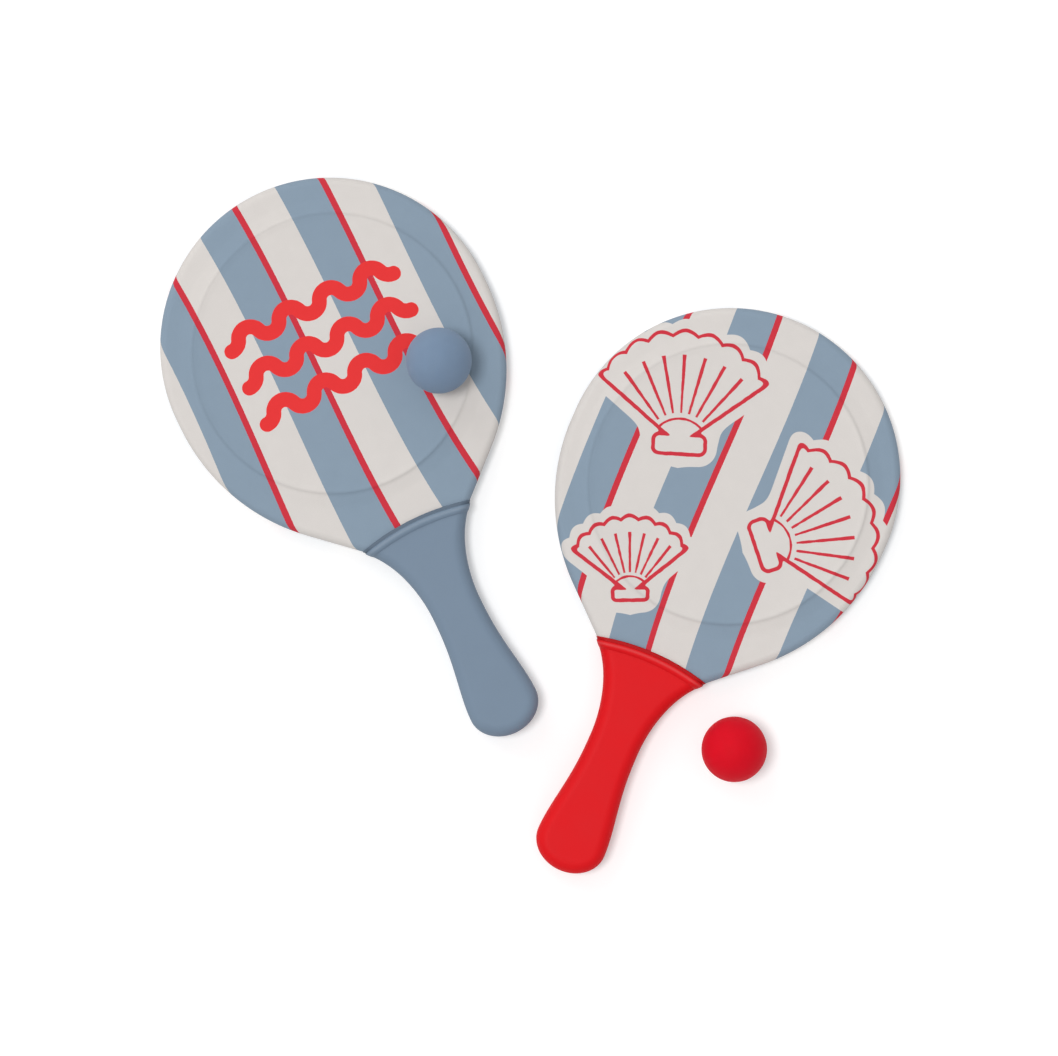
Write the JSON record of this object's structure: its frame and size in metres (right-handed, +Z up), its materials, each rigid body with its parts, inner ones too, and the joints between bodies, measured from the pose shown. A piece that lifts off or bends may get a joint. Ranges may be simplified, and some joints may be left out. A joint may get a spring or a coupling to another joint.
{
  "type": "beach game paddle",
  "caption": "Beach bat-and-ball set: round-headed padded bats with moulded grips and solid rubber balls, laid out flat.",
  "frame": {"origin": "centre of the whole layout's box, on the surface that the set lies on", "axes": "+Z up from the surface, +X from the blue bat to the red one, +Y from the handles' ends towards the heads"},
  "size_m": [0.4954, 0.4656, 0.0625],
  "materials": {
    "fibre_board": "raw wood-fibre board, sanded",
    "pad_foam": "closed-cell foam sheet, skived edge",
    "striped_neoprene": "printed knit on neoprene, matt",
    "blue_soft_grip": "soft-touch moulding, matt greyish blue",
    "red_soft_grip": "soft-touch moulding, matt red",
    "blue_rubber": "solid sponge rubber, matt blue",
    "red_rubber": "solid sponge rubber, matt red"
  },
  "bodies": {
    "blue_paddle": {"blue_core_board": "fibre_board", "blue_front_pad": "pad_foam", "blue_rear_pad": "pad_foam", "blue_front_skin": "striped_neoprene", "blue_rear_skin": "striped_neoprene", "blue_front_grip": "blue_soft_grip", "blue_rear_grip": "blue_soft_grip"},
    "red_paddle": {"red_core_board": "fibre_board", "red_front_pad": "pad_foam", "red_rear_pad": "pad_foam", "red_front_skin": "striped_neoprene", "red_rear_skin": "striped_neoprene", "red_front_grip": "red_soft_grip", "red_rear_grip": "red_soft_grip"},
    "blue_ball": {"blue_ball": "blue_rubber"},
    "red_ball": {"red_ball": "red_rubber"}
  },
  "joints": [
    {"name": "red_paddle_lift", "type": "slide", "parent": "blue_paddle", "child": "red_paddle", "axis": [0, 0, 1], "range_m": [0, 0.1]},
    {"name": "blue_ball_lift", "type": "slide", "parent": "blue_paddle", "child": "blue_ball", "axis": [0, 0, 1], "range_m": [0, 0.1]},
    {"name": "red_ball_lift", "type": "slide", "parent": "blue_paddle", "child": "red_ball", "axis": [0, 0, 1], "range_m": [0, 0.1]}
  ]
}
